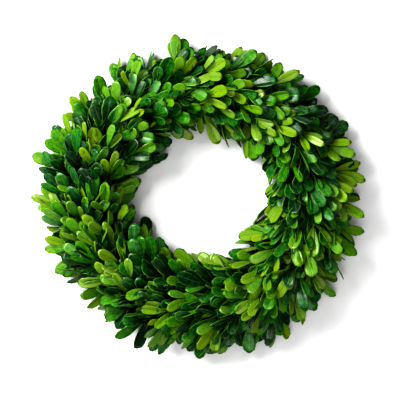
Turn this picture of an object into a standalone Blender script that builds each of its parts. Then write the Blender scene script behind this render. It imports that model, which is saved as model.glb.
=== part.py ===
"""A boxwood wreath, lying on its back.

Sixteen bunches of boxwood sprigs overlap like shingles along a double wire ring. Each bunch is
tied to the ring by the neck of bare stems at its tail, and the leafy head of the next bunch
hides that neck. Seen from above, every leaf points clockwise and away from the ring.

Metres, +Z up. The origin is the centre of the wreath's hole, on the surface that it lies on,
and +Y is the top of the wreath as it would hang.
"""

import math
import random

import bmesh
import bpy
from mathutils import Matrix, Vector

UP = Vector((0, 0, 1))

# The ring and what is tied along it
BUNCHES = 16
BUNCH_ANGLE = math.tau / BUNCHES
RING_RADIUS = 0.1065
CLEARANCE = 0.0003

# Wire of the ties. The loop's outline has these sides, by the way that each faces: -90 is down, 0 outwards
TIE_WIRE = 0.0012
TIE_SIDES = (-90, -45, 0, 30, 60, 90, 120, 150, 180, 225)
LOW_CORNER_TURN = math.radians(45)
TIE_HEIGHT = TIE_WIRE / 2 * math.cos(LOW_CORNER_TURN / 2)

# Double wire ring, just above the lowest run of the ties
RAIL_WIRE = 0.0026
RAIL_SPACING = 0.021
RAIL_SIDES = 6
RAIL_SEGMENTS = 32
RAIL_HEIGHT = TIE_HEIGHT + TIE_WIRE / 2 + CLEARANCE + RAIL_WIRE / 2
CROSS_BARS = 8
BAR_WIRE = 0.0020
BAR_SIDES = 4

# The packed stems of a bunch: a bare neck at the tail, and a full body from there to the head
NECK_RADIUS = 0.012
NECK_LENGTH = 0.007
SWELLING = 0.0025
TIE_FROM_TAIL = 0.0036
CORE_BACK = RAIL_HEIGHT + RAIL_WIRE / 2 + CLEARANCE
CORE_MIDDLE = CORE_BACK + NECK_RADIUS
CORE_HALF_WIDTH = 0.028
CORE_RISE = 0.026
CORE_SIDES = 10
FLUTE = 0.90

# The seams between bunches lean clockwise by this much for each metre away from the neck
CROWN_SLOPE = 1.05
OUTER_SLOPE = 0.45
INNER_SLOPE = 0.80
HALF_SEAM = 0.00045
HEAD_INSET = 0.0015

# Leaves grow in columns, by their direction round the section: 0 is outwards, 90 up, 180 to the hole
COLUMNS = 11
LOWEST_OUTER = math.radians(-20)
LOWEST_INNER = math.radians(200)
ROW_PITCH = 0.0125
ROW_STAGGER = 0.25
HEAD_MARGIN = 0.003
TAIL_MARGIN = 0.0075
ROOT_SINK = 0.0055

# A leaf's size, and its share of the length and of the width at each ring from its stalk to its tip
LEAF_LENGTH = 0.0290
LEAF_WIDTH = 0.0130
LEAF_THICKNESS = 0.0013
LEAF_ARCH = 0.10
LEAF_RINGS = ((0.45, 0.72), (0.80, 1.00), (1.0, 0.52))
LONGEST_LEAF = 0.040
LENGTH_SPREAD = 0.14
WIDTH_SPREAD = 0.11

# How far a leaf turns up from the ring on the crown and on either flank, and how much it strays
CROWN_PITCH = math.radians(40)
OUTER_PITCH = math.radians(70)
INNER_PITCH = math.radians(52)
TAIL_FAN = math.radians(20)
PITCH_SPREAD = math.radians(8)
ROLL_SPREAD = math.radians(30)
SIDE_SPREAD = 0.16
COLUMN_SPREAD = 0.10
ROW_SPREAD = 0.012
STEEPEST_DROP = -0.25

# A leaf's upper face looks up, a little outwards and a little back along the ring
FACE_UP = 0.8
FACE_AWAY = 0.5
FACE_BACK = 0.4

# A leaf that would cross a seam or reach the surface is bent away in small steps
LEAF_FLOOR = 0.0006
TURN_STEP = 0.07
MOST_TURNS = 24

# Leaves are longer on one side of the rim and on one side of the hole, by this share
OUTER_FULLER = 0.10
OUTER_FULL_SIDE = math.radians(330)
INNER_FULLER = 0.12
INNER_FULL_SIDE = math.radians(235)

# Tips that stand out past the rest: degrees round from +X, and distance from the middle of the hole
STANDOUT_HEIGHT = 0.016
RIM_STANDOUTS = (
    (10, 0.161),
    (26, 0.165),
    (40, 0.161),
    (98, 0.162),
    (142, 0.160),
    (160, 0.161),
    (166, 0.170),
    (180, 0.165),
    (208, 0.160),
    (270, 0.160),
    (288, 0.163),
    (316, 0.162),
    (340, 0.165),
    (348, 0.168),
)
HOLE_STANDOUTS = (
    (63, 0.055),
    (97, 0.053),
    (143, 0.051),
    (166, 0.055),
    (223, 0.050),
    (248, 0.049),
    (272, 0.052),
    (301, 0.051),
    (323, 0.054),
)


def on_ring(angle, out, height):
    """The point at an angle round the wreath, a distance out from the ring's middle line and a height."""
    radius = RING_RADIUS + out
    return Vector((radius * math.cos(angle), radius * math.sin(angle), height))


def out_of(point):
    """Distance of a point outwards from the ring's middle line."""
    return math.hypot(point.x, point.y) - RING_RADIUS


def slant(out, height):
    """Angle by which a seam between two bunches has leant clockwise at this place in the section."""
    rise = max(0.0, height - CORE_MIDDLE)
    reach = math.hypot(out, rise)
    if reach <= NECK_RADIUS:
        return 0.0
    flank = OUTER_SLOPE if out > 0 else INNER_SLOPE
    slope = flank + (CROWN_SLOPE - flank) * (rise / reach) ** 2
    return slope * (reach - NECK_RADIUS) / (RING_RADIUS + out)


def upright_angle(point):
    """Angle round the wreath at which a seam through this point would leave the neck."""
    return math.atan2(point.y, point.x) + slant(out_of(point), point.z)


def angle_between(angle, start):
    """The angle counted from start, from minus half a turn to half a turn."""
    return (angle - start + math.pi) % math.tau - math.pi


def new_collection(name):
    made = bpy.data.collections.new(name)
    bpy.context.scene.collection.children.link(made)
    return made


def new_object(name, mesh, collection):
    made = bpy.data.objects.new(name, mesh)
    collection.objects.link(made)
    return made


def plain_material(name, colour, roughness, metallic=0.0):
    material = bpy.data.materials.new(name)
    material.use_nodes = True
    shader = material.node_tree.nodes["Principled BSDF"]
    shader.inputs["Base Color"].default_value = (*colour, 1)
    shader.inputs["Roughness"].default_value = roughness
    shader.inputs["Metallic"].default_value = metallic
    return material


def mesh_of(bm, name):
    """Writes a bmesh to a new mesh and frees it."""
    mesh = bpy.data.meshes.new(name)
    bm.to_mesh(mesh)
    bm.free()
    return mesh


def join_all(base, others, material):
    """Joins every object of a collection to base in one union, removes them, and gives base its material."""
    union = base.modifiers.new("Join", "BOOLEAN")
    union.operation = "UNION"
    union.operand_type = "COLLECTION"
    union.collection = others
    evaluated = base.evaluated_get(bpy.context.evaluated_depsgraph_get())
    base.data = bpy.data.meshes.new_from_object(evaluated)
    base.modifiers.remove(union)
    base.data.materials.clear()
    base.data.materials.append(material)
    for helper in list(others.objects):
        bpy.data.objects.remove(helper)
    bpy.data.collections.remove(others)


def core_corner(side, half_width, rise):
    """(out, height) of one corner of the packed stems: every second one is drawn in, as between stems."""
    direction = math.tau * (side + 0.5) / CORE_SIDES
    fluted = FLUTE if side % 2 else 1.0
    height = CORE_MIDDLE + rise * fluted * math.sin(direction)
    return half_width * fluted * math.cos(direction), max(CORE_BACK, height)


def core_mesh(start):
    """The packed stems of one bunch, lofted from its tail to its head, where it hides the next neck."""
    head = start + (HALF_SEAM + HEAD_INSET) / RING_RADIUS
    tail = start + BUNCH_ANGLE - HALF_SEAM / RING_RADIUS
    neck = (NECK_RADIUS, NECK_RADIUS)
    full = (CORE_HALF_WIDTH, CORE_RISE)
    neck_end = tail - NECK_LENGTH / RING_RADIUS
    full_from = tail - SWELLING / RING_RADIUS
    stations = (
        (tail, neck),
        (neck_end, neck),
        (full_from, full),
        ((full_from + head) / 2, full),
        (head, full),
        (head, neck),
    )
    bm = bmesh.new()
    rings = []
    for upright, (half_width, rise) in stations:
        ring = []
        for side in range(CORE_SIDES):
            out, height = core_corner(side, half_width, rise)
            angle = upright - slant(out, height)
            if upright == full_from:
                angle = min(angle, neck_end)
            ring.append(bm.verts.new(on_ring(angle, out, height)))
        rings.append(ring)
    for ring, following in zip(rings, rings[1:]):
        for side in range(CORE_SIDES):
            bm.faces.new((ring[side - 1], ring[side], following[side], following[side - 1]))
    bm.faces.new(rings[0])
    bm.faces.new(rings[-1])
    bmesh.ops.recalc_face_normals(bm, faces=bm.faces)
    return mesh_of(bm, "packed_stems")


def leaf_mesh(leaf):
    """One leaf: a three-sided cone from its stalk, cut into rings and spread to an arched, ribbed blade."""
    bm = bmesh.new()
    bmesh.ops.create_cone(bm, cap_ends=True, segments=3, radius1=0, radius2=1, depth=1)
    bmesh.ops.remove_doubles(bm, verts=bm.verts, dist=1e-6)
    bmesh.ops.translate(bm, vec=UP / 2, verts=bm.verts)
    for along, _ in LEAF_RINGS[:-1]:
        geometry = bm.verts[:] + bm.edges[:] + bm.faces[:]
        bmesh.ops.bisect_plane(bm, geom=geometry, plane_co=UP * along, plane_no=UP)
    rings = {0.0: 0.0, **dict(LEAF_RINGS)}
    length = leaf["along"].length
    for vertex in bm.verts:
        along = round(vertex.co.z, 3)
        corner = round(math.degrees(math.atan2(vertex.co.y, vertex.co.x)) / 120)
        side = corner * rings[along] * leaf["width"] / 2
        rib = LEAF_THICKNESS * min(1.0, 2 * rings[along]) if corner == 0 else 0.0
        vertex.co = (along * length, side, -rib - LEAF_ARCH * along * along * length)
    bmesh.ops.triangulate(bm, faces=bm.faces)
    bmesh.ops.transform(bm, matrix=placing(leaf), verts=bm.verts)
    bmesh.ops.recalc_face_normals(bm, faces=bm.faces)
    return bm


def placing(leaf):
    """Matrix that lays a leaf from its root along its own direction and turns its upper face outwards."""
    along = leaf["along"].normalized()
    side = leaf["face"].cross(along).normalized()
    face = along.cross(side)
    turned = Matrix((along, side, face)).transposed()
    return Matrix.Translation(leaf["root"]) @ turned.to_4x4()


def fits(points, start):
    """How far a leaf passes its head seam, its tail seam and the floor: none is positive if it fits."""
    seam = HALF_SEAM / RING_RADIUS
    angles = [angle_between(upright_angle(p), start + BUNCH_ANGLE / 2) for p in points]
    limit = BUNCH_ANGLE / 2 - seam
    return -limit - min(angles), max(angles) - limit, LEAF_FLOOR - min(p.z for p in points)


def points_along_edges(bm):
    """Every corner of a mesh, and three points along each of its edges."""
    points = [v.co.copy() for v in bm.verts]
    for edge in bm.edges:
        first, last = edge.verts
        points += [first.co.lerp(last.co, share) for share in (0.25, 0.5, 0.75)]
    return points


def clear_leaf(leaf, start):
    """The leaf's mesh, bent away from the next bunch and from the floor until it meets neither."""
    root = leaf["root"]
    length = leaf["along"].length
    clockwise = Vector((root.y, -root.x, 0)).normalized()
    for _ in range(MOST_TURNS):
        bm = leaf_mesh(leaf)
        past_head, past_tail, past_floor = fits(points_along_edges(bm), start)
        if max(past_head, past_tail, past_floor) <= 0:
            return bm
        bm.free()
        turn = Vector()
        if past_head > 0:
            turn -= clockwise
        if past_tail > 0:
            turn += clockwise
        if past_floor > 0:
            turn += UP
        leaf["along"] = (leaf["along"] + turn * TURN_STEP * length).normalized() * length
    return None


def leaf_sites():
    """(direction round the section, share of the way from head to tail) of each leaf of a bunch."""
    for column in range(COLUMNS):
        share = column / (COLUMNS - 1)
        direction = LOWEST_OUTER + (LOWEST_INNER - LOWEST_OUTER) * share
        arc = BUNCH_ANGLE * (RING_RADIUS + CORE_HALF_WIDTH * math.cos(direction))
        rows = max(2, round((arc - HEAD_MARGIN - TAIL_MARGIN) / ROW_PITCH))
        for row in range(rows):
            stagger = ROW_STAGGER if column % 2 else -ROW_STAGGER
            yield direction, (row + 0.5 + stagger) / rows


def leaf_pitch(direction):
    """Angle between a leaf and the ring: low on the crown, and nearly straight out on the rim."""
    flank = OUTER_PITCH if math.cos(direction) > 0 else INNER_PITCH
    crown_share = max(0.0, math.sin(direction)) ** 2
    return flank + (CROWN_PITCH - flank) * crown_share


def fullness(angle, direction):
    """How much longer leaves grow here than on average: the wreath is a little fuller to one side."""
    if math.cos(direction) > 0:
        return 1 + OUTER_FULLER * math.cos(angle - OUTER_FULL_SIDE)
    return 1 + INNER_FULLER * math.cos(angle - INNER_FULL_SIDE)


def grown_leaf(start, direction, share, chance):
    """One leaf by the rule: its root in the packed stems, the way it points, and its size."""
    direction += chance.uniform(-COLUMN_SPREAD, COLUMN_SPREAD)
    out = (CORE_HALF_WIDTH - ROOT_SINK) * math.cos(direction)
    height = CORE_MIDDLE + (CORE_RISE - ROOT_SINK) * math.sin(direction)
    radius = RING_RADIUS + out
    room = BUNCH_ANGLE - (HEAD_MARGIN + TAIL_MARGIN) / radius
    upright = start + HEAD_MARGIN / radius + share * room + chance.uniform(-ROW_SPREAD, ROW_SPREAD)
    angle = upright - slant(out, height)
    outwards = Vector((math.cos(angle), math.sin(angle), 0))
    clockwise = Vector((math.sin(angle), -math.cos(angle), 0))
    away = outwards * math.cos(direction) + UP * max(STEEPEST_DROP, math.sin(direction))
    away.normalize()
    pitch = leaf_pitch(direction) + TAIL_FAN * abs(math.cos(direction)) * share * share
    pitch += chance.gauss(0, 1) * PITCH_SPREAD
    along = clockwise * math.cos(pitch) + away * math.sin(pitch)
    along += clockwise.cross(away) * chance.uniform(-SIDE_SPREAD, SIDE_SPREAD)
    length = LEAF_LENGTH * chance.uniform(1 - LENGTH_SPREAD, 1 + LENGTH_SPREAD)
    face = UP * FACE_UP + away * FACE_AWAY - clockwise * FACE_BACK
    roll = Matrix.Rotation(chance.uniform(-ROLL_SPREAD, ROLL_SPREAD), 3, along)
    return {
        "root": on_ring(angle, out, height),
        "along": along.normalized() * length * fullness(angle, direction),
        "face": roll @ face,
        "width": LEAF_WIDTH * chance.uniform(1 - WIDTH_SPREAD, 1 + WIDTH_SPREAD),
    }


def reach_for_standouts(leaves, start):
    """Turns the nearest leaf of the rim or of the hole towards each tip that stands out past the rest."""
    for degrees, radius in RIM_STANDOUTS + HOLE_STANDOUTS:
        tip = on_ring(math.radians(degrees), radius - RING_RADIUS, STANDOUT_HEIGHT)
        if abs(angle_between(upright_angle(tip), start + BUNCH_ANGLE / 2)) > BUNCH_ANGLE / 2:
            continue
        nearest = min(leaves, key=lambda leaf: (leaf["root"] - tip).length)
        along = tip - nearest["root"]
        nearest["along"] = along.normalized() * min(along.length, LONGEST_LEAF)
        nearest["face"] = UP.copy()


def leaf_meshes(start, chance):
    """The leaves of one bunch, without the few that can't be bent clear."""
    leaves = [grown_leaf(start, direction, share, chance) for direction, share in leaf_sites()]
    reach_for_standouts(leaves, start)
    bent = [clear_leaf(leaf, start) for leaf in leaves]
    return [mesh_of(bm, "leaf") for bm in bent if bm]


def make_bunch(number, collection, material):
    """One bunch: its packed stems, with every leaf that stands out of them joined on."""
    start = BUNCH_ANGLE * (number - 1)
    bunch = new_object(f"bunch_{number:02d}", core_mesh(start), collection)
    leaves = new_collection("leaves")
    for mesh in leaf_meshes(start, random.Random(number)):
        new_object("leaf", mesh, leaves)
    join_all(bunch, leaves, material)


def tie_corners(angle):
    """Corners of the tight loop round a bunch's neck and under both rails, where its sides meet."""
    stand_off = CLEARANCE + TIE_WIRE / 2
    rounds = (
        (0.0, CORE_MIDDLE, NECK_RADIUS + stand_off),
        (-RAIL_SPACING / 2, RAIL_HEIGHT, RAIL_WIRE / 2 + stand_off),
        (RAIL_SPACING / 2, RAIL_HEIGHT, RAIL_WIRE / 2 + stand_off),
    )
    sides = []
    for degrees in TIE_SIDES:
        across = math.cos(math.radians(degrees))
        rise = math.sin(math.radians(degrees))
        reach = max(out * across + height * rise + radius for out, height, radius in rounds)
        sides.append((across, rise, reach))
    corners = []
    for (across, rise, reach), (next_across, next_rise, next_reach) in zip(sides, sides[1:] + sides[:1]):
        turn = across * next_rise - rise * next_across
        out = (reach * next_rise - next_reach * rise) / turn
        height = (next_reach * across - reach * next_across) / turn
        corners.append(on_ring(angle, out, height))
    return corners


def make_tie(number, collection, material):
    """The wire that ties a bunch down: one closed turn of a six-sided wire, whose low run is what rests."""
    curve = bpy.data.curves.new(f"tie_{number:02d}", "CURVE")
    curve.dimensions = "3D"
    curve.twist_mode = "MINIMUM"
    curve.bevel_depth = TIE_WIRE / math.sqrt(3)
    curve.bevel_resolution = 1
    corners = tie_corners(BUNCH_ANGLE * number - TIE_FROM_TAIL / RING_RADIUS)
    spline = curve.splines.new("POLY")
    spline.points.add(len(corners) - 1)
    for point, corner in zip(spline.points, corners):
        point.co = (*corner, 1)
    spline.use_cyclic_u = True
    curve.materials.append(material)
    collection.objects.link(bpy.data.objects.new(f"tie_{number:02d}", curve))


def make_rail(name, radius, collection):
    """One rail of the ring."""
    bpy.ops.mesh.primitive_torus_add(
        major_radius=radius,
        minor_radius=RAIL_WIRE / 2,
        major_segments=RAIL_SEGMENTS,
        minor_segments=RAIL_SIDES,
        location=(0, 0, RAIL_HEIGHT),
    )
    rail = bpy.context.object
    rail.name = name
    for holder in list(rail.users_collection):
        holder.objects.unlink(rail)
    collection.objects.link(rail)
    return rail


def make_bar(angle, collection):
    """A short bar from the middle of one rail's wire to the middle of the other's."""
    bm = bmesh.new()
    bmesh.ops.create_cone(
        bm,
        cap_ends=True,
        segments=BAR_SIDES,
        radius1=BAR_WIRE / 2,
        radius2=BAR_WIRE / 2,
        depth=RAIL_SPACING,
    )
    bar = new_object("bar", mesh_of(bm, "bar"), collection)
    bar.location = on_ring(angle, 0, RAIL_HEIGHT)
    bar.rotation_euler = (0, math.pi / 2, angle)


def make_frame(collection, material):
    """Two wire rails with short bars welded across them, each bar behind the middle of a bunch."""
    frame = make_rail("frame", RING_RADIUS - RAIL_SPACING / 2, collection)
    pieces = new_collection("frame_pieces")
    make_rail("outer_rail", RING_RADIUS + RAIL_SPACING / 2, pieces)
    for index in range(CROSS_BARS):
        make_bar(math.tau * index / CROSS_BARS + BUNCH_ANGLE / 2, pieces)
    join_all(frame, pieces, material)
    frame.data.shade_smooth()
    frame.data.set_sharp_from_angle(angle=math.radians(65))


def main():
    for old in list(bpy.data.objects):
        bpy.data.objects.remove(old)
    wreath = new_collection("boxwood_wreath")
    leaf_green = plain_material("leaf_green", (0.055, 0.16, 0.012), 0.42)
    tie_green = plain_material("tie_green", (0.018, 0.045, 0.018), 0.40, 0.6)
    ring_green = plain_material("ring_green", (0.03, 0.05, 0.03), 0.35, 0.8)
    make_frame(wreath, ring_green)
    for number in range(1, BUNCHES + 1):
        make_bunch(number, wreath, leaf_green)
        make_tie(number, wreath, tie_green)


main()
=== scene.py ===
"""The boxwood wreath as it looks: stems, leaves, tie wires and the wire ring, seen from straight above.

Metres, +Z up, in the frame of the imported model: the middle of the hole on the surface, +Y to the top.
"""

import math
import random

import bmesh
import bpy
from mathutils import Matrix, Vector
from mathutils.geometry import interpolate_bezier


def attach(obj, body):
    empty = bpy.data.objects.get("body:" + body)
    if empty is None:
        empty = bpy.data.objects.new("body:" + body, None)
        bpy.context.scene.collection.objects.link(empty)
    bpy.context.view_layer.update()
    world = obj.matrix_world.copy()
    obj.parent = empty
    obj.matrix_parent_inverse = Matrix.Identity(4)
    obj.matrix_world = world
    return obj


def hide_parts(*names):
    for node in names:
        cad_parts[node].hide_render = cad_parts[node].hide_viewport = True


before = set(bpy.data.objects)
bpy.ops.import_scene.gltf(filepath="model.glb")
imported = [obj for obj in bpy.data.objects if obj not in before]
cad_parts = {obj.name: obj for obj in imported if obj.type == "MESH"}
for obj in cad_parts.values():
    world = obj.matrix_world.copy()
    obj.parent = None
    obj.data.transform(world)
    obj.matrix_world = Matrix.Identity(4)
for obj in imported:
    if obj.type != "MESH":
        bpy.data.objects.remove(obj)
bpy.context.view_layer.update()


# Wire ring. Two steel rails are joined by eight cross bars that are spot-welded between them, and the
# whole is dipped in dark green lacquer, which runs, dries unevenly and is scratched in a few places.

BUNCHES = 16
BUNCH_ANGLE = math.tau / BUNCHES
RING_RADIUS = 0.1065
RAIL_SPACING = 0.021
RAIL_HEIGHT = 0.002754
RAIL_WIRE_RADIUS = 0.0013
RAIL_SIDES = 12
RAIL_STEPS = 128
CROSS_BARS = 8
BAR_WIRE_RADIUS = 0.0010
BAR_SIDES = 10
WELD_RADIUS = 0.0015
WELD_SHAPE = (1.0, 1.25, 0.85, 1.0)
WELD_INSET = 0.0012
LACQUER_DARK = (0.010, 0.035, 0.014)
LACQUER_LIGHT = (0.022, 0.062, 0.026)
LACQUER_RUN_SCALE = 220.0
BARE_STEEL = (0.30, 0.29, 0.27)
SCRATCH_SCALE = 1400.0
SCRATCH_LEVEL = 0.70


def add_rail(bm, radius):
    """One rail: a round section spun all the way round."""
    upright = Matrix.Translation((radius, 0, RAIL_HEIGHT)) @ Matrix.Rotation(math.pi / 2, 4, "X")
    section = bmesh.ops.create_circle(
        bm, segments=RAIL_SIDES, radius=RAIL_WIRE_RADIUS, matrix=upright)["verts"]
    edges = list({edge for vert in section for edge in vert.link_edges})
    bmesh.ops.spin(
        bm, geom=section + edges, cent=(0, 0, 0), axis=(0, 0, 1), angle=math.tau, steps=RAIL_STEPS,
        use_merge=True)


def add_cross_bar(bm, angle):
    """A short bar between the rails, and the flattened bead of its weld to each."""
    turned = Matrix.Rotation(angle, 4, "Z") @ Matrix.Translation((RING_RADIUS, 0, RAIL_HEIGHT))
    laid = turned @ Matrix.Rotation(math.pi / 2, 4, "Y")
    bmesh.ops.create_cone(
        bm, cap_ends=True, segments=BAR_SIDES, radius1=BAR_WIRE_RADIUS, radius2=BAR_WIRE_RADIUS,
        depth=RAIL_SPACING, matrix=laid)
    for hand in (-1, 1):
        bead = turned @ Matrix.Translation((hand * (RAIL_SPACING / 2 - WELD_INSET), 0, 0))
        bead = bead @ Matrix.Diagonal(WELD_SHAPE)
        bmesh.ops.create_icosphere(bm, subdivisions=2, radius=WELD_RADIUS, matrix=bead)


def finished_mesh(name, bm):
    """The mesh of a bmesh that is done with."""
    mesh = bpy.data.meshes.new(name)
    bm.to_mesh(mesh)
    bm.free()
    return mesh


def set_out(name, data):
    """An object in the scene with this name and this mesh, light or lens."""
    thing = bpy.data.objects.new(name, data)
    bpy.context.scene.collection.objects.link(thing)
    return thing


class Value:
    """A shader socket that can be used in a Python expression."""

    def __init__(self, finish, socket):
        self.finish = finish
        self.socket = socket

    def maths(self, operation, *others):
        return self.finish.add("ShaderNodeMath", {"operation": operation}, self, *others)

    def __add__(self, other):
        return self.maths("ADD", other)

    def __radd__(self, other):
        return self.maths("ADD", other)

    def __sub__(self, other):
        return self.maths("SUBTRACT", other)

    def __rsub__(self, other):
        return self.finish.add("ShaderNodeMath", {"operation": "SUBTRACT"}, other, self)

    def __mul__(self, other):
        return self.maths("MULTIPLY", other)

    def __rmul__(self, other):
        return self.maths("MULTIPLY", other)

    def __gt__(self, other):
        return self.maths("GREATER_THAN", other)

    def __abs__(self):
        return self.maths("ABSOLUTE")

    def clipped(self):
        return self.finish.add("ShaderNodeClamp", {}, self)

    def above(self, level, steepness):
        """0 up to a level, and from there a steep rise to 1."""
        return ((self - level) * steepness).clipped()

    def part(self, name):
        return Value(self.finish, self.socket.node.outputs[name])


class Finish:
    """A material on one Principled shader. Nodes are added by type, settings, and values or links."""

    def __init__(self, name):
        self.material = bpy.data.materials.new(name)
        self.material.use_nodes = True
        self.tree = self.material.node_tree
        self.shader = self.tree.nodes["Principled BSDF"]

    def link(self, target, value):
        if isinstance(value, Value):
            self.tree.links.new(value.socket, target)
        elif target.type == "RGBA":
            target.default_value = (*value, 1)
        else:
            target.default_value = value

    def add(self, kind, settings, *values, **named):
        node = self.tree.nodes.new(kind)
        for setting, choice in settings.items():
            if setting == "stops":
                ramp = node.color_ramp
                while len(ramp.elements) < len(choice):
                    ramp.elements.new(1.0)
                for element, (place, colour) in zip(ramp.elements, choice):
                    element.position = place
                    element.color = (*colour, 1)
            else:
                setattr(node, setting, choice)
        for target, value in zip(node.inputs, values):
            self.link(target, value)
        for name, value in named.items():
            self.link(node.inputs[name], value)
        return Value(self, next(socket for socket in node.outputs if socket.enabled))

    def mix(self, amount, first, second):
        """Mixes two colours."""
        mixer = self.add("ShaderNodeMix", {"data_type": "RGBA"})
        sockets = [socket for socket in mixer.socket.node.inputs if socket.enabled]
        for socket, value in zip(sockets, (amount, first, second)):
            self.link(socket, value)
        return mixer

    def noise(self, where, scale, detail=3.0):
        return self.add("ShaderNodeTexNoise", {}, Vector=where, Scale=scale, Detail=detail)

    def bump(self, height, strength, distance):
        bump = self.add("ShaderNodeBump", {}, Strength=strength, Distance=distance, Height=height)
        self.link(self.shader.inputs["Normal"], bump)

    def set(self, **values):
        for name, value in values.items():
            self.link(self.shader.inputs[name.replace("_", " ")], value)


def lacquer_finish():
    """Dark green dip over steel: uneven, with runs and a few bare scratches."""
    finish = Finish("green_lacquer")
    place = finish.add("ShaderNodeTexCoord", {}).part("Object")
    runs = finish.noise(place, LACQUER_RUN_SCALE)
    scratches = finish.noise(place, SCRATCH_SCALE, 1.0).above(SCRATCH_LEVEL, 12.0)
    green = finish.mix(runs, LACQUER_DARK, LACQUER_LIGHT)
    finish.set(Base_Color=finish.mix(scratches * 0.6, green, BARE_STEEL))
    finish.set(Roughness=0.28 + runs * 0.18, Metallic=scratches * 0.8)
    finish.bump(runs - scratches * 0.5, 0.4, 0.0002)
    return finish.material


ring_bm = bmesh.new()
for radius in (RING_RADIUS - RAIL_SPACING / 2, RING_RADIUS + RAIL_SPACING / 2):
    add_rail(ring_bm, radius)
for bar in range(CROSS_BARS):
    add_cross_bar(ring_bm, math.tau * bar / CROSS_BARS + BUNCH_ANGLE / 2)
bmesh.ops.recalc_face_normals(ring_bm, faces=ring_bm.faces)
for face in ring_bm.faces:
    face.smooth = True
ring_mesh = finished_mesh("wire_ring", ring_bm)
ring_mesh.materials.append(lacquer_finish())
wire_ring = set_out("wire_ring", ring_mesh)
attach(wire_ring, "root")
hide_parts("frame")


# Stems. Boxwood is cut in sprigs about a finger long, and 16 bunches of them are laid one over another
# along the ring, each bound to it by the bare stems at its tail. The stems fan out from that neck,
# clockwise and away from the ring, and keep on their own side of the leaning seams between bunches.

UP = Vector((0, 0, 1))

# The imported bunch: its bare neck, the body above it that carries the sprigs, and the lean of its seams.
NECK_RADIUS = 0.012
CORE_BACK = 0.00436
CORE_MIDDLE = CORE_BACK + NECK_RADIUS
CORE_HALF_WIDTH = 0.028
CORE_RISE = 0.026
CROWN_SLOPE = 1.05
OUTER_SLOPE = 0.45
INNER_SLOPE = 0.80

# Where sprigs stand on that body: columns round its section, and rows from its head to its tail.
COLUMNS = 11
LOWEST_OUTER = math.radians(-20)
LOWEST_INNER = math.radians(200)
ROW_PITCH = 0.0125
ROW_SHIFT = 0.25
HEAD_MARGIN = 0.003
TAIL_MARGIN = 0.0075
ROOT_SINK = 0.0055
SECTION_SCATTER = 0.10
RING_SCATTER = 0.012

# How a sprig grows: its angle away from the ring, its length, and which way its upper face looks.
STEEPEST_FALL = -0.25
OUTER_PITCH = math.radians(56)
INNER_PITCH = math.radians(52)
CROWN_PITCH = math.radians(28)
TAIL_PITCH_GAIN = math.radians(12)
PITCH_SCATTER = math.radians(8)
SIDE_SCATTER = 0.16
FLANK_SWIRL = 0.42
SPRIG_LENGTH = 0.0290
SPRIG_SIZES = (0.86, 1.14)
OUTER_GROWTH = (0.10, math.radians(330))
INNER_GROWTH = (0.12, math.radians(235))
SPRIG_ROLL = math.radians(30)
FACE_UP = 0.8
FACE_OUT = 0.5
FACE_BACK = 0.4
LEAF_WIDTH = 0.0130
LEAF_WIDTHS = (0.89, 1.11)
LOW_SPRIG_SINK = 0.011

# How a sprig or a leaf is turned back from the seams, and from the surface the wreath lies on.
FLOOR_GAP = 0.0012
TESTED_SHARES = (0.45, 0.65, 0.80, 1.0)
TESTED_ACROSS = (-0.8, 0.0, 0.8)
TURN_TRIES = 24
TURN_STEP = 0.07

# Degrees round the wreath and distance from its middle of the leaf tips that stand out furthest.
STANDOUTS = (
    (10, 0.161),
    (26, 0.165),
    (40, 0.161),
    (98, 0.162),
    (142, 0.160),
    (160, 0.161),
    (166, 0.170),
    (180, 0.165),
    (208, 0.160),
    (270, 0.160),
    (288, 0.163),
    (316, 0.162),
    (340, 0.165),
    (348, 0.168),
    (63, 0.055),
    (97, 0.053),
    (143, 0.051),
    (166, 0.055),
    (223, 0.050),
    (248, 0.049),
    (272, 0.052),
    (301, 0.051),
    (323, 0.054),
)
STANDOUT_HEIGHT = 0.016
LONGEST_SPRIG = 0.040

# How far the sprigs of each flank move along their own direction, every 30 degrees round the wreath.
OUTER_TRIM = (0.005, -0.002, -0.003, -0.009, -0.004, -0.005, -0.004, -0.006, -0.001, -0.005, 0.005, 0.003)
INNER_TRIM = (0.004, -0.013, -0.001, 0.002, -0.008, 0.016, -0.003, -0.007, 0.011, 0.010, 0.005, -0.003)
SHAGGY = (-0.009, 0.006)
SHAG_SEED = 2000

# The bare stems, from the neck to where the leaves begin, and their bark.
STEM_SEED = 500
STEM_STATIONS = 7
STEM_SIDES = 5
STEM_TAIL_RADIUS = 0.0011
STEM_TIP_RADIUS = 0.0006
NECK_FILL = 0.85
TAIL_REACH = (0.93, 0.99)
STEM_OVERLAP = 0.004
STEM_EASE = 0.4
BARK_STREAKS = (
    (0.30, (0.050, 0.075, 0.012)),
    (0.50, (0.110, 0.140, 0.030)),
    (0.72, (0.190, 0.150, 0.060)),
)
BARK_STREAK_SCALE = 160.0
CORK = (0.32, 0.28, 0.16)
CORK_SPOT_SCALE = 900.0
CORK_SPOT_LEVEL = 0.62


def on_ring(angle, out, height):
    """The point at an angle round the wreath, a distance out from the ring's middle line and a height."""
    radius = RING_RADIUS + out
    return Vector((radius * math.cos(angle), radius * math.sin(angle), height))


def slant(out, height):
    """Angle by which a seam between two bunches has leant clockwise at this place in the section."""
    rise = max(0.0, height - CORE_MIDDLE)
    reach = math.hypot(out, rise)
    if reach <= NECK_RADIUS:
        return 0.0
    flank = OUTER_SLOPE if out > 0 else INNER_SLOPE
    slope = flank + (CROWN_SLOPE - flank) * (rise / reach) ** 2
    return slope * (reach - NECK_RADIUS) / (RING_RADIUS + out)


def from_middle(point, start):
    """Angle of a point, taken back to the neck along the seams' lean, from the middle of its bunch."""
    out = math.hypot(point.x, point.y) - RING_RADIUS
    angle = math.atan2(point.y, point.x) + slant(out, point.z) - start - BUNCH_ANGLE / 2
    return (angle + math.pi) % math.tau - math.pi


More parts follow.
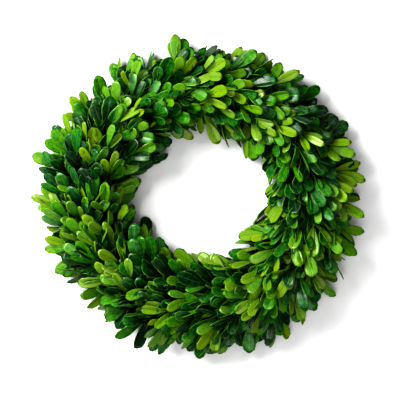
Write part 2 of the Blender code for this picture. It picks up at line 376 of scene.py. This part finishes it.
def sprig_sites():
    """(direction round the section, share of the way from head to tail, tall or low) of each sprig."""
    for column in range(COLUMNS):
        direction = LOWEST_OUTER + (LOWEST_INNER - LOWEST_OUTER) * column / (COLUMNS - 1)
        arc = BUNCH_ANGLE * (RING_RADIUS + CORE_HALF_WIDTH * math.cos(direction))
        rows = max(2, round((arc - HEAD_MARGIN - TAIL_MARGIN) / ROW_PITCH))
        shift = ROW_SHIFT if column % 2 else -ROW_SHIFT
        for row in range(rows):
            yield direction, (row + 0.5 + shift) / rows, (column + row) % 2 == 0


def grown_sprig(start, direction, share, chance):
    """Root, direction with length, upper face and leaf width of one sprig."""
    direction += chance.uniform(-SECTION_SCATTER, SECTION_SCATTER)
    out = (CORE_HALF_WIDTH - ROOT_SINK) * math.cos(direction)
    height = CORE_MIDDLE + (CORE_RISE - ROOT_SINK) * math.sin(direction)
    radius = RING_RADIUS + out
    room = BUNCH_ANGLE - (HEAD_MARGIN + TAIL_MARGIN) / radius
    upright = start + HEAD_MARGIN / radius + share * room + chance.uniform(-RING_SCATTER, RING_SCATTER)
    angle = upright - slant(out, height)
    outwards = Vector((math.cos(angle), math.sin(angle), 0))
    clockwise = Vector((math.sin(angle), -math.cos(angle), 0))
    away = outwards * math.cos(direction) + UP * max(STEEPEST_FALL, math.sin(direction))
    away.normalize()
    flank = OUTER_PITCH if math.cos(direction) > 0 else INNER_PITCH
    pitch = flank + (CROWN_PITCH - flank) * max(0.0, math.sin(direction)) ** 2
    pitch += TAIL_PITCH_GAIN * abs(math.cos(direction)) * share * share
    pitch += chance.gauss(0, 1) * PITCH_SCATTER
    along = clockwise * math.cos(pitch) + away * math.sin(pitch)
    along += clockwise.cross(away) * chance.uniform(-SIDE_SCATTER, SIDE_SCATTER)
    along += away.cross(clockwise) * FLANK_SWIRL * max(0.0, -math.sin(2 * direction))
    length = SPRIG_LENGTH * chance.uniform(*SPRIG_SIZES)
    growth, longest_at = OUTER_GROWTH if math.cos(direction) > 0 else INNER_GROWTH
    length *= 1 + growth * math.cos(angle - longest_at)
    roll = Matrix.Rotation(chance.uniform(-SPRIG_ROLL, SPRIG_ROLL), 3, along)
    return {
        "root": on_ring(angle, out, height),
        "along": along.normalized(),
        "length": length,
        "face": (roll @ (UP * FACE_UP + away * FACE_OUT - clockwise * FACE_BACK)).normalized(),
        "width": LEAF_WIDTH * chance.uniform(*LEAF_WIDTHS),
        "bend": 0.0,
        "outward": math.cos(direction),
    }


def centre_line(blade, share):
    """Point on the middle line of a sprig or a leaf that bends evenly away from its upper face."""
    turned = blade["bend"] * share
    reach = math.sin(turned) / blade["bend"] if blade["bend"] else share
    drop = (1 - math.cos(turned)) / blade["bend"] if blade["bend"] else 0.0
    side = blade["face"].cross(blade["along"]).normalized()
    upper = blade["along"].cross(side)
    return blade["root"] + (blade["along"] * reach - upper * drop) * blade["length"]


def bend_clear(blade, start, allowed=0.0):
    """Turns a sprig or a leaf back in small steps until it crosses neither a seam nor the surface."""
    clockwise = Vector((blade["root"].y, -blade["root"].x, 0)).normalized()
    limit = BUNCH_ANGLE / 2 + allowed / RING_RADIUS
    for _ in range(TURN_TRIES):
        side = blade["face"].cross(blade["along"]).normalized() * blade["width"] / 2
        points = [centre_line(blade, share) + side * across
                  for share in TESTED_SHARES for across in TESTED_ACROSS]
        angles = [from_middle(point, start) for point in points]
        turn = Vector()
        if min(angles) < -limit:
            turn -= clockwise
        if max(angles) > limit:
            turn += clockwise
        if min(point.z for point in points) < FLOOR_GAP:
            turn += UP
        if turn.length < 0.5:
            break
        blade["along"] = (blade["along"] + turn * TURN_STEP).normalized()
    return blade


def trimmed(sprig, shag):
    """How far a sprig moves along its own direction: most on the flanks, and not at all on the crown."""
    trim = OUTER_TRIM if sprig["outward"] > 0 else INNER_TRIM
    place = math.degrees(math.atan2(sprig["root"].y, sprig["root"].x)) % 360 / (360 / len(trim))
    before = trim[int(place) % len(trim)]
    after = trim[(int(place) + 1) % len(trim)]
    even = before + (after - before) * (place - int(place))
    return (even + shag.uniform(*SHAGGY)) * abs(sprig["outward"])


def sprigs_of_bunch(start, chance, shag):
    """The sprigs of one bunch: half of them reach the surface, and the others stay between them."""
    sprigs = []
    for direction, share, tall in sprig_sites():
        sprig = grown_sprig(start, direction, share, chance)
        sprig["tall"] = tall
        sprigs.append(sprig)
    for degrees, radius in STANDOUTS:
        tip = on_ring(math.radians(degrees), radius - RING_RADIUS, STANDOUT_HEIGHT)
        if abs(from_middle(tip, start)) > BUNCH_ANGLE / 2:
            continue
        nearest = min(sprigs, key=lambda sprig: (sprig["root"] - tip).length)
        along = tip - nearest["root"]
        nearest.update(along=along.normalized(), length=min(along.length, LONGEST_SPRIG))
        nearest.update(face=UP.copy(), tall=True, standout=True)
    for sprig in sprigs:
        bend_clear(sprig, start)
        if not sprig.get("standout"):
            sprig["root"] = sprig["root"] + sprig["along"] * trimmed(sprig, shag)
        if not sprig["tall"]:
            sprig["root"] = sprig["root"] - sprig["along"] * LOW_SPRIG_SINK
    return sprigs


def straight_rod(name, stations, sides):
    """A rod of radius 1 from Z 0 to the last station, cut across at each station."""
    bm = bmesh.new()
    bmesh.ops.create_cone(
        bm, cap_ends=True, segments=sides, radius1=1, radius2=1, depth=stations - 1,
        matrix=Matrix.Translation((0, 0, (stations - 1) / 2)))
    for station in range(1, stations - 1):
        bmesh.ops.bisect_plane(
            bm, geom=bm.verts[:] + bm.edges[:] + bm.faces[:],
            plane_co=(0, 0, station), plane_no=(0, 0, 1))
    for face in bm.faces:
        face.smooth = abs(face.normal.z) < 0.5
    return finished_mesh(name, bm)


def stem_path(sprig, start, chance):
    """From the neck, along the bunch and out to where the sprig's leaves begin."""
    ray = math.sqrt(chance.random()) * NECK_RADIUS * NECK_FILL
    turn = chance.uniform(0, math.tau)
    tail_angle = start + BUNCH_ANGLE * chance.uniform(*TAIL_REACH)
    tail = on_ring(tail_angle, ray * math.cos(turn), CORE_MIDDLE + ray * math.sin(turn))
    clockwise = Vector((tail.y, -tail.x, 0)).normalized()
    tip = sprig["root"] + sprig["along"] * STEM_OVERLAP
    span = (tip - tail).length * STEM_EASE
    return interpolate_bezier(
        tail, tail + clockwise * span, tip - sprig["along"] * span, tip, STEM_STATIONS)


def straight_up(point):
    """Keeps a rod's sections square to the upright."""
    return UP


def rods_mesh(name, paths, rod, first_radius, last_radius, level):
    """A straight rod laid along each path. level gives the direction that its sections keep square to."""
    bm = bmesh.new()
    for path in paths:
        last = len(path) - 1
        first_vert = len(bm.verts)
        bm.from_mesh(rod)
        bm.verts.ensure_lookup_table()
        for vert in bm.verts[first_vert:]:
            station = round(vert.co.z)
            ahead = path[min(station + 1, last)] - path[max(station - 1, 0)]
            side = ahead.cross(level(path[station])).normalized()
            over = side.cross(ahead).normalized()
            radius = first_radius + (last_radius - first_radius) * station / last
            vert.co = path[station] + (side * vert.co.x + over * vert.co.y) * radius
    bmesh.ops.recalc_face_normals(bm, faces=bm.faces)
    return finished_mesh(name, bm)


def bark_finish():
    """Thin young bark: green and tan in streaks, with small pale corky spots."""
    finish = Finish("boxwood_stem")
    place = finish.add("ShaderNodeTexCoord", {}).part("Object")
    streak = finish.noise(place, BARK_STREAK_SCALE, 4.0)
    spots = finish.noise(place, CORK_SPOT_SCALE, 1.0).above(CORK_SPOT_LEVEL, 8.0)
    bark = finish.add("ShaderNodeValToRGB", {"stops": BARK_STREAKS}, streak)
    finish.set(Base_Color=finish.mix(spots * 0.5, bark, CORK), Roughness=0.7)
    finish.bump(streak + spots * 0.5, 0.5, 0.0003)
    return finish.material


stem_rod = straight_rod("stem_rod", STEM_STATIONS, STEM_SIDES)
bark = bark_finish()
bunch_sprigs = {}
for number in range(1, BUNCHES + 1):
    start = BUNCH_ANGLE * (number - 1)
    shag = random.Random(SHAG_SEED + number)
    bunch_sprigs[number] = sprigs_of_bunch(start, random.Random(number), shag)
    chance = random.Random(STEM_SEED + number)
    paths = [stem_path(sprig, start, chance) for sprig in bunch_sprigs[number]]
    mesh = rods_mesh(
        f"stems_{number:02d}", paths, stem_rod, STEM_TAIL_RADIUS, STEM_TIP_RADIUS, straight_up)
    mesh.materials.append(bark)
    stems = set_out(f"stems_{number:02d}", mesh)
    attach(stems, "root")
    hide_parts(f"bunch_{number:02d}")
bpy.data.meshes.remove(stem_rod)


# Tie wires. Soft green enamelled wire goes twice round the bare stems of a bunch and under both rails,
# and is pulled tight. Its two ends are twisted together and tucked up on the side of the hole.

TIE_RADIUS = 0.00055
TIE_STAND_OFF = 0.000904
TIE_FROM_TAIL = 0.0036
TIE_TURNS = 2
TIE_PITCH = 0.0012
POINTS_A_TURN = 36
TIE_START = 170
TWIST_SWEEP = 40
TWIST_LENGTH = 0.009
TWIST_TURNS = 3
TWIST_INSET = 0.0008
TIE_SIDES = 8
ENAMEL = (0.016, 0.050, 0.018)
SCUFFED_ENAMEL = (0.045, 0.095, 0.045)
SCUFF_SCALE = 700.0
SCUFF_LEVEL = 0.48


def tie_outline(facing):
    """Place in the section, out and up, where a tight wire lies on the side that faces this way."""
    rounds = (
        (0.0, CORE_MIDDLE, NECK_RADIUS),
        (-RAIL_SPACING / 2, RAIL_HEIGHT, RAIL_WIRE_RADIUS),
        (RAIL_SPACING / 2, RAIL_HEIGHT, RAIL_WIRE_RADIUS),
    )
    across = math.cos(facing)
    rise = math.sin(facing)
    out, height, radius = max(rounds, key=lambda at: at[0] * across + at[1] * rise + at[2])
    return out + (radius + TIE_STAND_OFF) * across, height + (radius + TIE_STAND_OFF) * rise


def tie_path(angle):
    """The turns of one tie, starting and ending on the side of the hole."""
    path = []
    steps = TIE_TURNS * POINTS_A_TURN
    for step in range(steps + 1):
        out, height = tie_outline(math.radians(TIE_START) + math.tau * step / POINTS_A_TURN)
        aside = TIE_PITCH * (step / POINTS_A_TURN - TIE_TURNS / 2)
        path.append(on_ring(angle + aside / (RING_RADIUS + out), out, height))
    return path


def twist_path(angle, phase):
    """One of the two ends, twisted round the other along the inner side of the neck, and tucked up."""
    path = []
    for step in range(POINTS_A_TURN + 1):
        share = step / POINTS_A_TURN
        turn = phase + math.tau * TWIST_TURNS * share
        out, height = tie_outline(math.radians(TIE_START - TWIST_SWEEP * share))
        along = TIE_PITCH + TWIST_LENGTH * share
        out -= TWIST_INSET - TIE_RADIUS * math.cos(turn)
        path.append(on_ring(
            angle - along / (RING_RADIUS + out), out, height + TIE_RADIUS * math.sin(turn)))
    return path


def round_the_wreath(point):
    """Keeps the sections of a turn round the neck square to the ring."""
    return Vector((-point.y, point.x, 0))


def tie_finish():
    """Soft enamel over thin wire, scuffed to a paler green where it was pulled round the stems."""
    finish = Finish("green_tie_wire")
    place = finish.add("ShaderNodeTexCoord", {}).part("Object")
    scuff = finish.noise(place, SCUFF_SCALE, 2.0).above(SCUFF_LEVEL, 5.0)
    finish.set(Base_Color=finish.mix(scuff, ENAMEL, SCUFFED_ENAMEL), Roughness=0.38 + scuff * 0.25)
    finish.bump(scuff, 0.3, 0.0001)
    return finish.material


turn_rod = straight_rod("turn_rod", TIE_TURNS * POINTS_A_TURN + 1, TIE_SIDES)
twist_rod = straight_rod("twist_rod", POINTS_A_TURN + 1, TIE_SIDES)
enamel = tie_finish()
for number in range(1, BUNCHES + 1):
    angle = BUNCH_ANGLE * number - TIE_FROM_TAIL / RING_RADIUS
    turns = rods_mesh("turns", [tie_path(angle)], turn_rod, TIE_RADIUS, TIE_RADIUS, round_the_wreath)
    ends = [twist_path(angle, phase) for phase in (0, math.pi)]
    twists = rods_mesh("twists", ends, twist_rod, TIE_RADIUS, TIE_RADIUS, straight_up)
    tie_bm = bmesh.new()
    tie_bm.from_mesh(turns)
    tie_bm.from_mesh(twists)
    bpy.data.meshes.remove(turns)
    bpy.data.meshes.remove(twists)
    tie_mesh = finished_mesh(f"tie_wire_{number:02d}", tie_bm)
    tie_mesh.materials.append(enamel)
    tie_wire = set_out(f"tie_wire_{number:02d}", tie_mesh)
    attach(tie_wire, "root")
    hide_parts(f"tie_{number:02d}")
bpy.data.meshes.remove(turn_rod)
bpy.data.meshes.remove(twist_rod)


# Leaves. A boxwood leaf is a leathery, spoon-shaped blade about 25 mm long on a short stalk, with a pale
# midrib and a small notch at its tip. They sit in pairs along a sprig: young yellow-green ones over old
# ones, which are broader, dark and glossy, and the lower ones are darkened further as painted shade.
# Undersides are paler and dull.

# The shape of a leaf. Each row of the outline is a share of the length from the stalk, and the half
# width there of a spoon-shaped leaf and of an oval one.
LEAF_LENGTH = 0.0326
LEAF_SLIMNESS = (0.27, 0.37)
LEAF_OUTLINE = (
    (0.00, 0.08, 0.08),
    (0.20, 0.24, 0.44),
    (0.40, 0.62, 0.83),
    (0.57, 0.90, 1.00),
    (0.72, 1.00, 0.95),
    (0.87, 0.88, 0.77),
    (1.00, 0.58, 0.42),
)
LEAF_ACROSS = (-1.0, -0.78, 0.0, 0.78, 1.0)
INSIDE_RIM = 0.499
RIM_MERGE = 0.001
LEAF_SKIN = 0.00045
RIB_FOLD = 0.42
LEAF_NOTCH = 0.014
ROUND_TIP = 0.075

# The leaves of a sprig: share along it, spread and rise in degrees, size, and how much darker than the
# sprig, for age and as painted shade.
SPRIG_LEAVES = (
    (0.12, 0, 0, 1.00, 0.00),
    (0.02, -28, 2, 0.92, 0.05),
    (0.00, 28, 2, 0.92, 0.05),
    (-0.40, -40, -3, 0.88, 0.36),
    (-0.43, 40, -3, 0.88, 0.36),
)

# How leaves differ in size and bend.
LEAF_SEED = 1000
LEAF_SIZES = (0.88, 1.10)
OLD_LEAF_BREADTH = 1.25
YOUNG_LEAF_CUT = 0.30
FOLD_SIZES = (0.4, 1.6)
CUP_DEPTHS = (0.10, 0.45)
OVAL_SHARES = (0.0, 0.8)
LEAF_BEND = (0.34, 0.18)
LEAST_BEND = 0.03
STANDOUT_BEND = 0.15
LEAF_TWIST = 0.30

# How leaves differ in the way they lie: most of them roll little about their own length, some a lot.
SPREAD_SIZES = (0.75, 1.25)
SPREAD_SCATTER = 9
RISE_SCATTER = 12
STEADY_SHARE = 0.75
STEADY_ROLL = 0.42
LOOSE_ROLL = 1.0
INNER_ROLL_GAIN = 0.7
CROWN_ROLL_LIMIT = 1.2
FLANK_ROLL_CUT = 0.7
SEAM_OVERLAP = 0.004

# How leaves differ in age: a tone of 0 is the oldest and darkest, and 1 the youngest and brightest.
YOUNG_SHARE = 0.50
YOUNG_TONES = (0.70, 1.0)
OLD_TONES = (0.05, 0.50)
# Low sprigs sit deep between the tall ones, and their leaves are darker: partly for age, partly painted
# shade.
LOW_SPRIG_SHADE_AND_AGE = 0.36
TONE_SCATTER = (-0.38, 0.32)
LEAF_WARMTH = (0.48, 0.48)
GLOSSY_WHEN_OLD = 0.80
GLOSS_LOST_WHEN_YOUNG = 0.42

# Greens by tone, from old to young, and how strongly each marking covers them. The stalk green is partly
# painted shade, and the rim green partly painted highlight.
COOL_GREENS = (
    (0.0, (0.0020, 0.022, 0.0080)),
    (0.25, (0.0100, 0.084, 0.0180)),
    (0.50, (0.0470, 0.156, 0.0170)),
    (0.75, (0.1000, 0.192, 0.0170)),
    (1.0, (0.1260, 0.200, 0.0270)),
)
WARM_GREENS = (
    (0.0, (0.0013, 0.024, 0.0010)),
    (0.25, (0.0095, 0.088, 0.0030)),
    (0.50, (0.0500, 0.157, 0.0035)),
    (0.75, (0.1040, 0.193, 0.0040)),
    (1.0, (0.1300, 0.200, 0.0110)),
)
OLD_RIB = (0.14, 0.23, 0.05)
YOUNG_RIB = (0.035, 0.095, 0.003)
YOUNG_RIB_TONE = 0.62
RIB_STRENGTH = 0.52
# Painted shade: the stalk end of each leaf, covered by the leaves above it, is darkened towards this
# green.
STALK_GREEN_AND_SHADE = (0.05, 0.085, 0.008)
STALK_SHADE_STRENGTH = 0.5
# The rim is partly a paler margin and partly a painted highlight along the edge.
RIM_GREEN_AND_HIGHLIGHT = (0.15, 0.25, 0.03)
RIM_INSIDE = 0.86
RIM_HIGHLIGHT_STRENGTH = 0.72
UNDERSIDE_GREEN = (0.06, 0.135, 0.024)
UNDERSIDE_STRENGTH = 0.5
VEIN_GREEN = (0.005, 0.026, 0.001)
VEIN_STRENGTH = 0.26
VEIN_PAIRS = 5.0
VEIN_SLANT = 2.6
PATCH_SCALE = 13.0
PATCH_STRENGTH = 0.8
BLOTCH_SCALE = 60.0
MOTTLE_SCALE = 240.0
MOTTLE_STRENGTH = 0.55
FLECK_SCALE = 800.0
FLECK_STRENGTH = 0.65
FINE_SCALE = 900.0
# Painted shade: the tone rises from the stalk to the tip, so the covered base of each leaf is darker.
BASE_PAINTED_SHADE = 0.20
TONE_SHIFT = 0.13
SHEEN_SHARE = 0.50
SHEEN_PATCHINESS = 3.0


def leaf_sheet_mesh():
    """Two grids that share their rim: X is the row from stalk to tip, Y the place across, Z the skin."""
    bm = bmesh.new()
    rows = len(LEAF_OUTLINE) - 1
    columns = len(LEAF_ACROSS) - 1
    uv = bm.loops.layers.uv.new("leaf")
    bmesh.ops.create_grid(bm, x_segments=rows, y_segments=columns, size=0.5, calc_uvs=True)
    for face in bm.faces:
        face.smooth = True
        for loop in face.loops:
            loop[uv].uv.x = LEAF_OUTLINE[round(loop[uv].uv.x * rows)][0]
            loop[uv].uv.y = 0.5 + LEAF_ACROSS[round(loop[uv].uv.y * columns)] / 2
    under = bmesh.ops.duplicate(bm, geom=bm.verts[:] + bm.edges[:] + bm.faces[:])["geom"]
    for vert in under:
        if isinstance(vert, bmesh.types.BMVert) and max(abs(vert.co.x), abs(vert.co.y)) < INSIDE_RIM:
            vert.co.z = -1
    under_faces = [face for face in under if isinstance(face, bmesh.types.BMFace)]
    bmesh.ops.reverse_faces(bm, faces=under_faces)
    for face in under_faces:
        for loop in face.loops:
            loop[uv].uv.y += 1.0
    bmesh.ops.remove_doubles(bm, verts=bm.verts, dist=RIM_MERGE)
    bmesh.ops.translate(bm, vec=(0.5, 0, 0), verts=bm.verts)
    bmesh.ops.scale(bm, vec=(rows, columns, 1), verts=bm.verts)
    for vert in bm.verts:
        vert.co.y = LEAF_ACROSS[round(vert.co.y) + columns // 2]
    for edge in bm.edges:
        edge.smooth = max(abs(vert.co.y) for vert in edge.verts) > 0.01
    return finished_mesh("leaf_sheet", bm)


def leaf_point(leaf, corner):
    """Where a corner of the flat sheet lies on a leaf that is bent, cupped, twisted and notched."""
    row = round(corner.x)
    across = corner.y
    share, spoon, oval = LEAF_OUTLINE[row]
    half_width = spoon + (oval - spoon) * leaf["oval"]
    reach = share
    if row == len(LEAF_OUTLINE) - 1:
        reach = 1.0 - ROUND_TIP * across * across - LEAF_NOTCH * (1 - min(1.0, 2 * abs(across)))
    width = half_width * leaf["width"] / 2
    height = (leaf["fold"] * abs(across) - leaf["cup"] * across * across) * width
    if corner.z < -0.5:
        height -= LEAF_SKIN
    side = leaf["face"].cross(leaf["along"]).normalized()
    upper = leaf["along"].cross(side)
    turned = leaf["bend"] * reach
    normal = upper * math.cos(turned) + leaf["along"] * math.sin(turned)
    lean = leaf["twist"] * share
    aside = side * math.cos(lean) + normal * math.sin(lean)
    over = normal * math.cos(lean) - side * math.sin(lean)
    return centre_line(leaf, reach) + aside * across * width + over * height


def held(value, low, high):
    """A number kept between two others."""
    return max(low, min(high, value))


def leaf_on(sprig, spot, chance):
    """One leaf of a sprig, from its place along it, its spread to the side, its rise and its size."""
    share, spread, rise, size, shade_and_age = spot
    spread *= chance.uniform(*SPREAD_SIZES)
    spread = math.radians(spread + chance.uniform(-SPREAD_SCATTER, SPREAD_SCATTER))
    rise = math.radians(rise + chance.uniform(-RISE_SCATTER, RISE_SCATTER))
    along = Matrix.Rotation(spread, 3, sprig["face"]) @ sprig["along"]
    side = sprig["face"].cross(along).normalized()
    along = Matrix.Rotation(-rise, 3, side) @ along
    # A leaf lower on its sprig is darker: partly older, partly painted shade deep in the foliage.
    tone = held(sprig["tone"] - shade_and_age + chance.uniform(*TONE_SCATTER), 0.0, 1.0)
    face = Matrix.Rotation(-rise, 3, side) @ sprig["face"]
    usual_roll = STEADY_ROLL + shade_and_age if chance.random() < STEADY_SHARE else LOOSE_ROLL
    roll = chance.gauss(0, usual_roll) * (1.0 + INNER_ROLL_GAIN * max(0.0, -sprig["outward"]))
    most = CROWN_ROLL_LIMIT - FLANK_ROLL_CUT * abs(sprig["outward"])
    face = Matrix.Rotation(held(roll, -most, most), 3, along) @ face
    length = LEAF_LENGTH * size * chance.uniform(*LEAF_SIZES)
    breadth = OLD_LEAF_BREADTH - YOUNG_LEAF_CUT * tone
    return {
        "root": sprig["root"] + sprig["along"] * sprig["length"] * share,
        "along": along,
        "length": length,
        "face": face,
        "width": length * chance.uniform(*LEAF_SLIMNESS) * breadth,
        "fold": RIB_FOLD * chance.uniform(*FOLD_SIZES),
        "cup": chance.uniform(*CUP_DEPTHS),
        "oval": chance.uniform(*OVAL_SHARES),
        "bend": max(LEAST_BEND, chance.gauss(*LEAF_BEND)),
        "twist": chance.uniform(-LEAF_TWIST, LEAF_TWIST),
        "tone": tone,
        "warmth": held(chance.gauss(*LEAF_WARMTH), 0.0, 1.0),
        "gloss": 1.0 if chance.random() < GLOSSY_WHEN_OLD - GLOSS_LOST_WHEN_YOUNG * tone else 0.0,
    }


def leaves_of_sprig(sprig, chance):
    """The leaf at the end of a sprig, and the pairs of leaves below it."""
    sprig["tone"] = chance.uniform(*(YOUNG_TONES if chance.random() < YOUNG_SHARE else OLD_TONES))
    # Painted shade as well as age: a low sprig, deep between the tall ones, has darker leaves.
    if not sprig["tall"]:
        sprig["tone"] -= LOW_SPRIG_SHADE_AND_AGE
    leaves = [leaf_on(sprig, spot, chance) for spot in SPRIG_LEAVES]
    if sprig.get("standout"):
        tip = sprig["root"] + sprig["along"] * sprig["length"]
        leaves[0].update(along=sprig["along"], face=sprig["face"], bend=STANDOUT_BEND)
        leaves[0]["root"] = tip - sprig["along"] * leaves[0]["length"]
    return leaves


def leaves_mesh(name, leaves, sheet):
    """All the leaves of a bunch, each with its tone, warmth and gloss on its faces."""
    bm = bmesh.new()
    tone = bm.faces.layers.float.new("tone")
    warmth = bm.faces.layers.float.new("warmth")
    gloss = bm.faces.layers.float.new("gloss")
    for leaf in leaves:
        first_vert = len(bm.verts)
        first_face = len(bm.faces)
        bm.from_mesh(sheet)
        bm.verts.ensure_lookup_table()
        bm.faces.ensure_lookup_table()
        for vert in bm.verts[first_vert:]:
            vert.co = leaf_point(leaf, vert.co)
        for face in bm.faces[first_face:]:
            face[tone] = leaf["tone"]
            face[warmth] = leaf["warmth"]
            face[gloss] = leaf["gloss"]
    return finished_mesh(name, bm)


def leaf_finish():
    """Leathery green, by age: a pale midrib, faint side veins, a lighter rim that is partly painted
    highlight, painted shade towards the stalk, and a dull underside.
    """
    finish = Finish("boxwood_leaf")
    place = finish.add("ShaderNodeTexCoord", {}).part("Object")
    split = finish.add("ShaderNodeSeparateXYZ", {}, finish.add("ShaderNodeUVMap", {"uv_map": "leaf"}))
    lengthwise = split.part("X")
    under = split.part("Y") > 1.0001
    across = abs(split.part("Y") - under - 0.5) * 2.0
    tone = finish.add("ShaderNodeAttribute", {"attribute_name": "tone"}).part("Fac")
    patch = finish.noise(place, PATCH_SCALE, 1.0)
    blotch = finish.noise(place, BLOTCH_SCALE)
    mottle = finish.noise(place, MOTTLE_SCALE, 2.0)
    fleck = finish.noise(place, FLECK_SCALE, 2.0)
    mottling = (patch - 0.5) * PATCH_STRENGTH + (mottle - 0.5) * MOTTLE_STRENGTH
    mottling += (fleck - 0.5) * FLECK_STRENGTH
    # The rise of tone along the leaf is painted shade at its covered base.
    age = (tone + mottling + lengthwise * BASE_PAINTED_SHADE - TONE_SHIFT).clipped()
    cool = finish.add("ShaderNodeValToRGB", {"stops": COOL_GREENS}, age)
    warm = finish.add("ShaderNodeValToRGB", {"stops": WARM_GREENS}, age)
    warmth = finish.add("ShaderNodeAttribute", {"attribute_name": "warmth"}).part("Fac")
    skin = finish.mix(warmth, cool, warm)
    midrib = (1.0 - across * 8.0).clipped() * (1.0 - lengthwise * 0.6)
    rib_colour = finish.mix(tone.above(YOUNG_RIB_TONE, 6.0), OLD_RIB, YOUNG_RIB)
    skin = finish.mix(midrib * RIB_STRENGTH, skin, rib_colour)
    # Painted shade: the stalk end is darkened where the leaves above cover it.
    stalk = (1.0 - lengthwise * 3.2).clipped()
    skin = finish.mix(stalk * STALK_SHADE_STRENGTH, skin, STALK_GREEN_AND_SHADE)
    # Lighter rim: partly a paler margin, partly a painted highlight along the edge.
    rim = across.above(RIM_INSIDE, 9.0)
    skin = finish.mix(rim * RIM_HIGHLIGHT_STRENGTH, skin, RIM_GREEN_AND_HIGHLIGHT)
    skin = finish.mix(under * UNDERSIDE_STRENGTH, skin, UNDERSIDE_GREEN)
    wave = (lengthwise * VEIN_PAIRS - across * VEIN_SLANT) * math.tau
    veins = finish.add("ShaderNodeMath", {"operation": "SINE"}, wave).above(0.55, 2.6)
    skin = finish.mix(veins * VEIN_STRENGTH, skin, VEIN_GREEN)
    finish.set(Base_Color=skin, Roughness=0.38 + under * 0.27 + (blotch - 0.5) * 0.16)
    finish.set(Specular_IOR_Level=0.03, Coat_Roughness=0.35)
    gloss = finish.add("ShaderNodeAttribute", {"attribute_name": "gloss"}).part("Fac")
    sheen = (SHEEN_SHARE + (blotch - 0.5) * SHEEN_PATCHINESS).clipped()
    finish.set(Coat_Weight=gloss * (1.0 - under) * sheen)
    fine = finish.noise(place, FINE_SCALE, 2.0)
    finish.bump(mottle * 2.4 + fine * 0.25 - veins * 0.45 - midrib * 0.8, 0.6, 0.0004)
    return finish.material


leaf_sheet = leaf_sheet_mesh()
leaf_skin = leaf_finish()
for number, sprigs in bunch_sprigs.items():
    start = BUNCH_ANGLE * (number - 1)
    chance = random.Random(LEAF_SEED + number)
    leaves = []
    for sprig in sprigs:
        for leaf in leaves_of_sprig(sprig, chance):
            leaves.append(bend_clear(leaf, start, allowed=SEAM_OVERLAP))
    mesh = leaves_mesh(f"leaves_{number:02d}", leaves, leaf_sheet)
    mesh.materials.append(leaf_skin)
    foliage = set_out(f"leaves_{number:02d}", mesh)
    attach(foliage, "root")
    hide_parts(f"bunch_{number:02d}")
bpy.data.meshes.remove(leaf_sheet)


# Floor, light and camera. The wreath lies on white paper under a large soft light from the upper left,
# with a weaker one from the bottom of the picture to open its shadows, in a bright room. The camera
# looks straight down at it from well above.

PAPER_WHITE = (0.51, 0.51, 0.51)
PAPER_SIZE = 3.0
KEY_PLACE = (-0.92, 0.60, 0.90)
KEY_AIM = (0, 0, 0.02)
KEY_SIZE = 0.90
KEY_WATTS = 39
FILL_PLACE = (-0.10, -1.00, 1.50)
FILL_AIM = (0, 0, 0)
FILL_SIZE = 1.6
FILL_WATTS = 19
ROOM_STRENGTH = 0.56
PHOTO_SCALE = 0.000979
PHOTO_SIDE = 400
PHOTO_CENTRE = (0.0020, -0.0034)
CAMERA_HEIGHT = 1.60
OUTLINE_HEIGHT = 0.020
FARTHEST_SEEN = 10


def hang_light(name, shape, size, watts, place, aim):
    """A soft light of a shape and size, hung in one place and turned to another."""
    light = bpy.data.lights.new(name, "AREA")
    light.shape = shape
    light.size = size
    light.energy = watts
    lamp = set_out(name, light)
    lamp.location = place
    lamp.rotation_euler = (Vector(aim) - lamp.location).to_track_quat("-Z", "Y").to_euler()


floor_bm = bmesh.new()
bmesh.ops.create_grid(floor_bm, x_segments=1, y_segments=1, size=PAPER_SIZE)
floor_mesh = finished_mesh("floor", floor_bm)
paper = Finish("white_paper")
paper.set(Base_Color=PAPER_WHITE, Roughness=0.9)
floor_mesh.materials.append(paper.material)
floor = set_out("floor", floor_mesh)

hang_light("key", "DISK", KEY_SIZE, KEY_WATTS, KEY_PLACE, KEY_AIM)
hang_light("fill", "SQUARE", FILL_SIZE, FILL_WATTS, FILL_PLACE, FILL_AIM)
room = bpy.data.worlds.new("soft_room")
room.use_nodes = True
room.node_tree.nodes["Background"].inputs["Color"].default_value = (1, 1, 1, 1)
room.node_tree.nodes["Background"].inputs["Strength"].default_value = ROOM_STRENGTH
bpy.context.scene.world = room
bpy.context.scene.view_settings.view_transform = "Standard"
bpy.context.scene.view_settings.look = "Very High Contrast"

camera_lens = bpy.data.cameras.new("camera")
seen_width = PHOTO_SCALE * PHOTO_SIDE
camera_lens.lens = camera_lens.sensor_width * (CAMERA_HEIGHT - OUTLINE_HEIGHT) / seen_width
camera_lens.clip_end = FARTHEST_SEEN
camera = set_out("camera", camera_lens)
camera.location = (*PHOTO_CENTRE, CAMERA_HEIGHT)
bpy.context.scene.camera = camera
